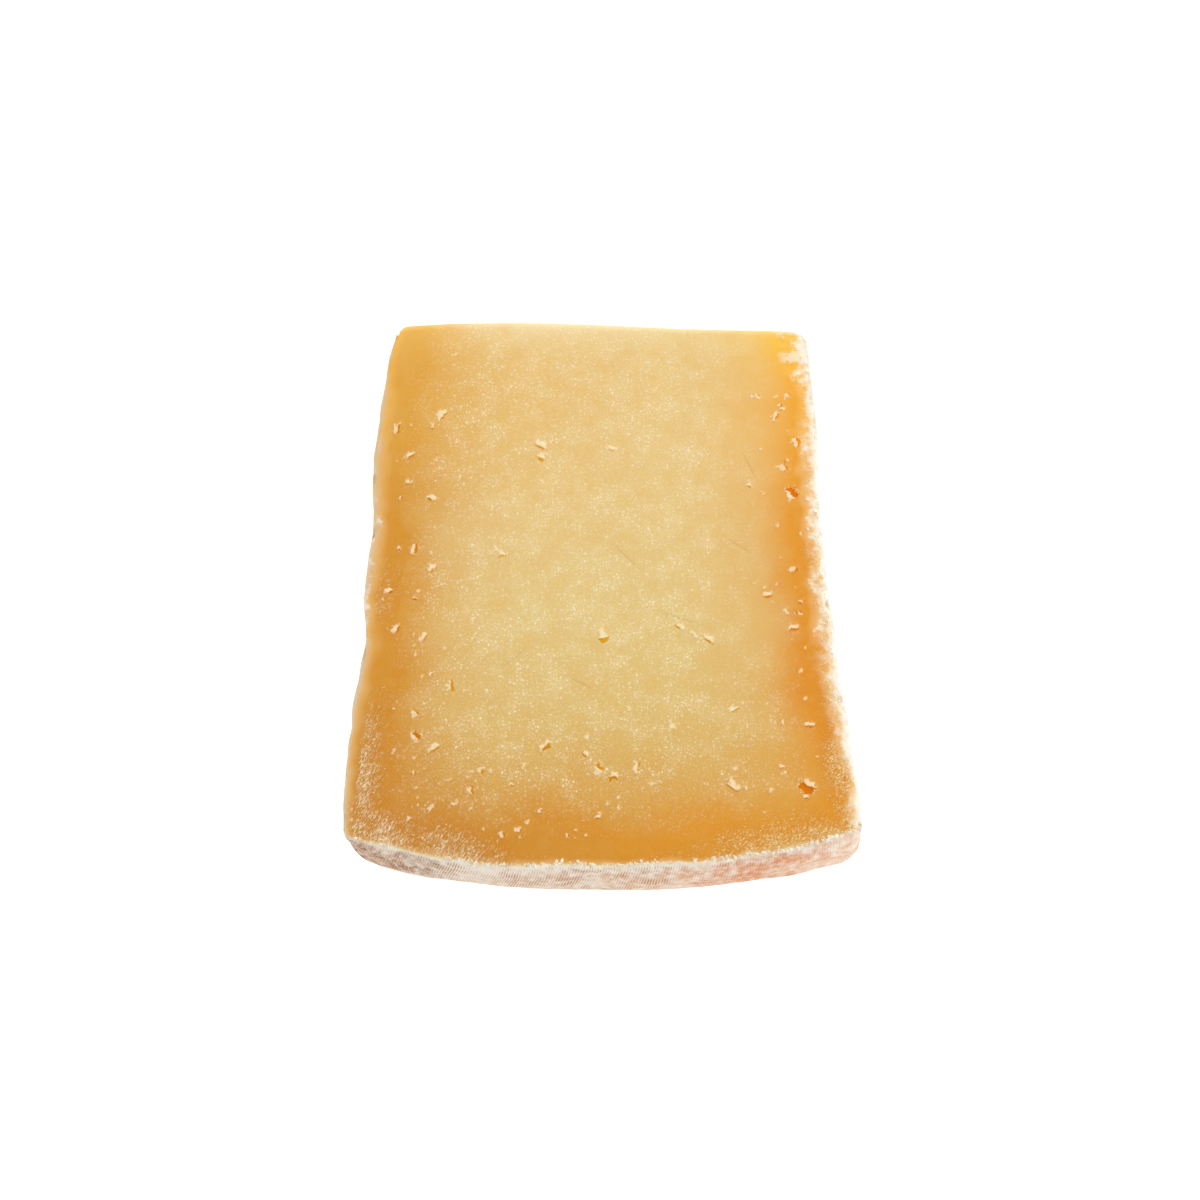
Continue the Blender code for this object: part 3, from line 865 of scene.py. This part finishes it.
def paste_finish(put, at):
    """Give the aged paste's colour, roughness and height.

    Pressed sheep milk paste is waxy and faintly mealy, strewn with white crystals.
    """
    curd, grit, clumps = (
        put("TexNoise", [at.place, 1 / (length * MM), detail, rough])
        for length, detail, rough in ((1.1, 4, 0.7), (0.5, 3, 0.7), (2.6, 5, 0.65)))
    to_right = put("MapRange", [at.across, -30 * MM, 35 * MM])
    colour = dried_paste(put, at, to_right)
    curdled = put("ValToRGB", [curd], ramp=((0.3, "FBFAF3"), (0.7, "FFFFFA")))
    colour = put("Mix", [1, colour, curdled], blend_type="MULTIPLY")
    marked = knife_marks(put, at)
    for pattern, share, tone in ((marked, 0.3, "C9974C"),
                                 (crystal_specks(put, at), 0.85, "F8EBCB")):
        shown = put("Math", [pattern, share])
        colour = put("Mix", [shown, colour, tone])
    smear = smeared_frost(put, at)
    # The paste under the frost is multiplied darker: partly its deeper orange, partly painted
    # shade between the raised frost grains
    colour = tinted(put, colour, "F8E6B0", at.frost, (0, 0.6, 0, 0.5),
                    blend_type="MULTIPLY")
    dust = put("Mix", [to_right, "FFEEC8", "FFE6AC"])
    colour = put("Mix", [smear, colour, dust])
    colour = bordered(put, at, colour, clumps, to_right)

    # Broken paste along the right rind: pale lumps with orange gaps
    gritty = put("MapRange", [grit, 0.3, 0.7, -0.6, 0.6])
    height = put("Math", [gritty, at.lumps], operation="SUBTRACT")
    pale = strength(put, height, (-0.1, 0.35, 0, 0.6), at.mealy)
    colour = put("Mix", [pale, colour, "FFF3DE"])

    # Torn flakes are pale; their cavities get painted shade, orange brown that deepens with depth
    bits = put("Math", [grit, 1.3, at.torn], operation="MULTIPLY_ADD")
    facet = put("MapRange", [curd, 0.35, 0.6, 0.55, 0.95])
    whole = put("MapRange", [at.torn, 0.2, 0.9, 0.45, 1])
    flake = strength(put, bits, (0.98, 1.3), facet, whole)
    flaked = put("Mix", [flake, colour, "FBE6BE"])
    deep = put("MapRange", [at.sunken, 0, 1.3 * MM])
    # Painted shade inside the cavities, darker and more orange the deeper they sink
    painted_cavity_shade = put("ValToRGB", [deep], ramp=(
        (0, "FFFFFF"), (0.12, "FFECA0"), (0.4, "FFDA48"), (0.7, "FFD020"), (1, "FFC400")))
    cavity = put("Mix", [1, colour, painted_cavity_shade], blend_type="MULTIPLY")
    ragged = put("Math", [grit, -0.5 * MM, at.sunken], operation="MULTIPLY_ADD")
    colour = tinted(put, flaked, cavity, ragged, (-0.2 * MM, -0.05 * MM))

    dusty = smear
    for broken in (pale, flake):
        dusty = put("Math", [dusty, broken], operation="MAXIMUM")
    rough = put("MapRange", [dusty, 0, 0.8, 0.5, 0.8])
    relief = put("Math", [curd, 0.025 * MM])
    for pattern, height in ((dusty, 0.04 * MM), (marked, -0.1 * MM)):
        relief = put("Math", [pattern, height, relief], operation="MULTIPLY_ADD")
    return colour, rough, relief


def rind_skin(put, at, patches, spots):
    """Give the rind's own colour, how far along and how low on the heel a point lies."""
    swing = put("MapRange", [patches, 0.2, 0.8, -12 * MM, 12 * MM])
    swung = put("Math", [at.across, swing], operation="ADD")
    along = put("MapRange", [swung, -48 * MM, 48 * MM])
    lower = put("MapRange", [at.arc, 34 * MM, 8 * MM, 0, 0.6])
    skin, greyer, spot = (put("ValToRGB", [along], ramp=stops) for stops in (
        ((0, "A0683A"), (0.09, "B07E56"), (0.18, "DEC8AE"), (0.25, "EEDCC8"),
         (0.36, "D8B490"), (0.6, "D8A678"), (0.8, "DA844A"), (1, "DE9C62")),
        ((0, "BC9A7C"), (0.25, "DCCAB6"), (0.5, "CCAE96"), (0.8, "DEB294"),
         (1, "EECEB4")),
        ((0, "B08A68"), (0.6, "C09270"), (0.8, "DC8850"), (1, "E49E6C"))))
    skin = put("Mix", [lower, skin, greyer])
    drawn = put("Mapping", {"Vector": at.wheel, "Scale": (9 * MM, 1.6 * MM, 9 * MM)})
    streaks = put("TexNoise", [drawn, 1, 4])
    for tone, *pattern in (
            ("DCC6AC", at.radius, (127 * MM, 112 * MM, 0, 0.85)),
            ("E4B088", patches, (0.5, 0.7, 0, 0.6)),
            (spot, spots, (0.53, 0.64, 0, 0.55)),
            ("AE9A8A", streaks, (0.52, 0.7, 0, 0.6), lower)):
        skin = tinted(put, skin, tone, *pattern)
    return skin, along, lower


def rind_finish(put, at):
    """Give the rind's colour, roughness and height.

    A brushed natural rind that matured in cloth: dry, dusty and pinkish beige, with a
    pale bloom, brown patches and the fine ridges that the cloth pressed in.
    """
    patches, spots, worn, dust = (
        put("TexNoise", [at.brushed, 1 / (length * MM), detail, rough])
        for length, detail, rough in ((9, 5, 0.6), (2, 5, 0.5), (7, 3, 0.6),
                                      (2, 6, 0.7)))
    skin, along, lower = rind_skin(put, at, patches, spots)

    ridge = put("TexWave", {"Vector": at.fabric, "Scale": math.tau / 20 / THREAD_SPACING,
                            "Distortion": 3.6, "Detail": 1.5, "Detail Scale": 0.2},
                bands_direction="X")
    filled = put("MapRange", [dust, 0.46, 0.62, 1, 0.2])
    rubbed = put("MapRange", [lower, 0, 0.6, 1, 0.5])
    clearer = put("ValToRGB", [along], ramp=(
        (0, 0.3), (0.15, 1), (0.6, 0.85), (0.85, 0.35), (1, 0.15)))
    pressed = strength(put, worn, (0.36, 0.54, 0.15, 0.95), filled, rubbed, clearer)

    dustier = put("ValToRGB", [along], ramp=(
        (0, 0.05), (0.15, 0.2), (0.7, 0.2), (0.85, 0.1), (1, 0.2)))
    at_edge = put("MapRange", [at.under_edge, 1 * MM, 7 * MM, 0.1, 0])
    dusted = dust
    for more in (dustier, at_edge):
        dusted = put("Math", [dusted, more], operation="ADD")
    bloom = bpy.context.scene.cheese_colours.bloom
    colour = tinted(put, skin, bloom, dusted, (0.54, 0.85, 0.06, 0.92))
    colour = tinted(put, colour, "C69C7C", ridge, (0.65, 0.2), pressed, blend_type="MULTIPLY")

    # The left corner is wrinkled, with pale crests
    folds = put("TexNoise", {"Vector": at.brushed, "Scale": 1 / (2.2 * MM), "Detail": 1,
                             "Distortion": 0.8})
    off_crest = put("Math", [folds, 0.5], operation="SUBTRACT")
    off_crest = put("Math", [off_crest], operation="ABSOLUTE")
    at_left = put("MapRange", [along, 0.24, 0.12])
    crest = strength(put, off_crest, (0, 0.05, 0.6, 0), at_left)
    colour = put("Mix", [crest, colour, "F2E6D4"])

    threads = put("Math", [ridge, pressed])
    relief = put("Math", [threads, 0.07 * MM])
    for pattern, height in ((dust, 0.2 * MM), (crest, 0.15 * MM)):
        relief = put("Math", [pattern, height, relief], operation="MULTIPLY_ADD")
    return colour, 0.85, relief


def end_material(put, colour, rough, relief, body):
    """End a material with its relief and the soft body of cheese."""
    normal = put("Bump", {"Strength": 1, "Distance": 1, "Height": relief})
    shader = put("BsdfPrincipled", {"Base Color": colour, "Roughness": rough,
                                    "Normal": normal, "IOR": 1.45, **body})
    put("OutputMaterial", {"Surface": shader})


def cheese_material():
    """Make the one material of the body: paste, and rind where the mesh is marked so."""
    material, put = new_material("aged_sheep_cheese")
    at = read_marks(put)
    colours, roughs, reliefs = zip(paste_finish(put, at), rind_finish(put, at))
    end_material(put, put("Mix", [at.rind, *colours]),
                 *(put("Mix", [at.rind, *pair], data_type="FLOAT") for pair in (roughs, reliefs)),
                 {"Specular IOR Level": 0.12, "Subsurface Weight": 0.35,
                  "Subsurface Radius": (1, 0.5, 0.2), "Subsurface Scale": 2.5 * MM})
    return material


def crumb_material():
    """Make broken paste: pale, matt and crumbly, with warm paste showing between."""
    material, put = new_material("crumbled_rind")
    place = put("TexCoord", take="Object")
    grain = put("TexNoise", [place, 1 / (0.9 * MM), 4, 0.65])
    colour = put("ValToRGB", [grain], ramp=((0.3, "EEC888"), (0.5, "FDF1DC"), (0.8, "FCF3DF")))
    height = put("Math", [grain, 0.12 * MM])
    end_material(put, colour, 0.7, height,
                 {"Specular IOR Level": 0.3, "Subsurface Weight": 0.2,
                  "Subsurface Radius": (1, 0.55, 0.25), "Subsurface Scale": 0.3 * MM})
    return material


def lump_at(template, place, size, turn, seed):
    """Shape one ragged lump of this size at a place, turned by Euler angles."""
    points, faces = template
    ragged = points * (1 + 0.45 * ripple(points, 0.8, seed))[:, None]
    turned = (ragged * np.array(size) / 2) @ np.array(Euler(turn).to_matrix()).T
    return turned + place, faces


def heaped_crumbs(generator):
    """Give places and sizes of the larger crumbs, heaped on the heel's edge."""
    crumbs = []
    for middle, count in CRUMB_HEAPS:
        for _ in range(count):
            across = (middle + generator.gauss(0, 1.0)) * MM
            radius = float(rim_radius(np.array(across))) - generator.uniform(-0.4, 1.2) * MM
            crumbs.append((across, radius, generator.uniform(0.6, 1.15) * MM))
    return crumbs


def crumb_place(generator):
    """Draw a crumb's place on the upper cut, across and from the axis, and its size."""
    draw = generator.random()
    size = min(0.25 + generator.expovariate(5), 1.2) * MM
    if draw < HEEL_CRUMBS:
        across = generator.uniform(-50, 51) * MM
        radius = float(rim_radius(np.array(across))) - abs(generator.gauss(0, 0.45)) * MM
        return across, radius, size
    radius = generator.uniform(12, 131) * MM
    inward = abs(generator.gauss(0.8, 0.9)) * MM
    return float(half_height(1, radius)) - inward, radius, size


def dress_piece(piece, material, smooth):
    """Give a piece its material, shade it smooth up to an angle, and let it ride."""
    bpy.ops.object.select_all(action="DESELECT")
    piece.select_set(True)
    bpy.context.view_layer.objects.active = piece
    bpy.ops.object.shade_smooth_by_angle(angle=smooth)
    piece.data.materials.append(material)
    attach(piece, "root")


class CHEESE_OT_body(bpy.types.Operator):
    """Model the body of the wedge with its torn openings, and dress it"""
    bl_idname = "cheese.body"
    bl_label = "Cheese Body"

    def execute(self, context):
        body, pale, sunken = model_wedge(torn_spots())
        mark_surfaces(body, pale, sunken)
        dress_piece(body, cheese_material(), BODY_SMOOTH)
        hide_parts("cheese_wedge")
        return {"FINISHED"}


class CHEESE_OT_crumbs(bpy.types.Operator):
    """Strew crumbs along the worn edges of the upper cut"""
    bl_idname = "cheese.crumbs"
    bl_label = "Edge Crumbs"

    def execute(self, context):
        generator = random.Random(CRUMB_SEED)
        template = round_lump()
        crumbs = []
        places = heaped_crumbs(generator)
        while len(places) < context.scene.cheese_sizes.edge_crumbs:
            across, radius, size = crumb_place(generator)
            thick = generator.random()
            if noise.noise(Vector((across, radius, 0)) / (5 * MM)) > 0.5 * thick - 0.35:
                places.append((across, radius, size))
        for across, radius, size in places:
            crumbs.append(lump_at(template, surface_spot(across, radius, 1),
                                  (size, size * 0.8, size * 0.6),
                                  [generator.uniform(0, math.tau) for _ in range(3)],
                                  generator.random() * 100))
        dress_piece(join_lumps("edge_crumbs", crumbs), crumb_material(), CRUMB_SMOOTH)
        return {"FINISHED"}


class CHEESE_OT_stage(bpy.types.Operator):
    """Set the pale floor, the soft studio light and the camera"""
    bl_idname = "cheese.stage"
    bl_label = "Stage"

    def execute(self, context):
        scene = context.scene
        bpy.ops.object.select_all(action="DESELECT")
        bpy.ops.mesh.primitive_plane_add(size=6, location=(0, 0, 0))
        floor = context.object
        floor.name = "studio_floor"
        material, put = new_material("matt_white_board")
        place = put("TexCoord", take="Object")
        tooth = put("TexNoise", [place, 1 / (2 * MM)])
        colour = put("ValToRGB", [tooth], ramp=((0.0, "FAFAF9"), (1.0, "FDFDFC")))
        shader = put("BsdfPrincipled", {
            "Base Color": colour, "Roughness": 0.9, "Specular IOR Level": 0.1,
            "Emission Color": "FFFFFF", "Emission Strength": 0.45})
        put("OutputMaterial", {"Surface": shader})
        floor.data.materials.append(material)

        world = bpy.data.worlds.new("white_studio")
        scene.world = world
        world.use_nodes = True
        world.node_tree.nodes.clear()
        put = functools.partial(add, world.node_tree)
        view = put("TexCoord", take="Generated")
        up = put("SeparateXYZ", [view], take="Z")
        glow = put("MapRange", [up, 0.0, 0.6, 1.0, 0.5])
        light = put("Background", {"Color": "FFFFFF", "Strength": glow})
        put("OutputWorld", {"Surface": light})

        for name, place, size, power in SOFTBOXES:
            lamp = bpy.data.lights.new(name, "AREA")
            lamp.size = size
            lamp.energy = power
            lit = bpy.data.objects.new(name, lamp)
            lit.location = place
            lit.rotation_euler = (-Vector(place)).to_track_quat("-Z", "Y").to_euler()
            scene.collection.objects.link(lit)

        lens = bpy.data.cameras.new("photo_camera")
        lens.lens = CAMERA_LENS
        lens.sensor_width = 36
        lens.clip_start = 0.01
        camera = bpy.data.objects.new("photo_camera", lens)
        back = Vector((0, -math.cos(CAMERA_ELEVATION), math.sin(CAMERA_ELEVATION)))
        camera.location = CAMERA_AIM + back * CAMERA_DISTANCE
        camera.rotation_euler = (math.pi / 2 - CAMERA_ELEVATION, 0, 0)
        scene.collection.objects.link(camera)
        scene.camera = camera
        scene.view_settings.view_transform = "Standard"
        return {"FINISHED"}


class CHEESE_PT_sidebar(bpy.types.Panel):
    """Lists the pieces of the cheese"""
    bl_idname = "CHEESE_PT_sidebar"
    bl_label = "Sheep Milk Cheese"
    bl_space_type = "VIEW_3D"
    bl_region_type = "UI"
    bl_category = "Cheese"

    def draw(self, context):
        for group in (context.scene.cheese_sizes, context.scene.cheese_colours):
            for name in group.__annotations__:
                self.layout.prop(group, name)
        for operator in OPERATORS:
            self.layout.operator(operator.bl_idname)


OPERATORS = (CHEESE_OT_body, CHEESE_OT_crumbs, CHEESE_OT_stage)
CLASSES = (CheeseSizes, CheeseColours) + OPERATORS + (CHEESE_PT_sidebar,)


def register():
    """Register the classes, and hang the properties on the scene."""
    for cls in CLASSES:
        bpy.utils.register_class(cls)
    bpy.types.Scene.cheese_sizes = bpy.props.PointerProperty(type=CheeseSizes)
    bpy.types.Scene.cheese_colours = bpy.props.PointerProperty(type=CheeseColours)


def unregister():
    """Take the properties and the classes away again."""
    del bpy.types.Scene.cheese_colours
    del bpy.types.Scene.cheese_sizes
    for cls in reversed(CLASSES):
        bpy.utils.unregister_class(cls)


def main():
    """Make every piece in order."""
    register()
    bpy.ops.cheese.body()
    bpy.ops.cheese.crumbs()
    bpy.ops.cheese.stage()


if __name__ == "__main__":
    main()
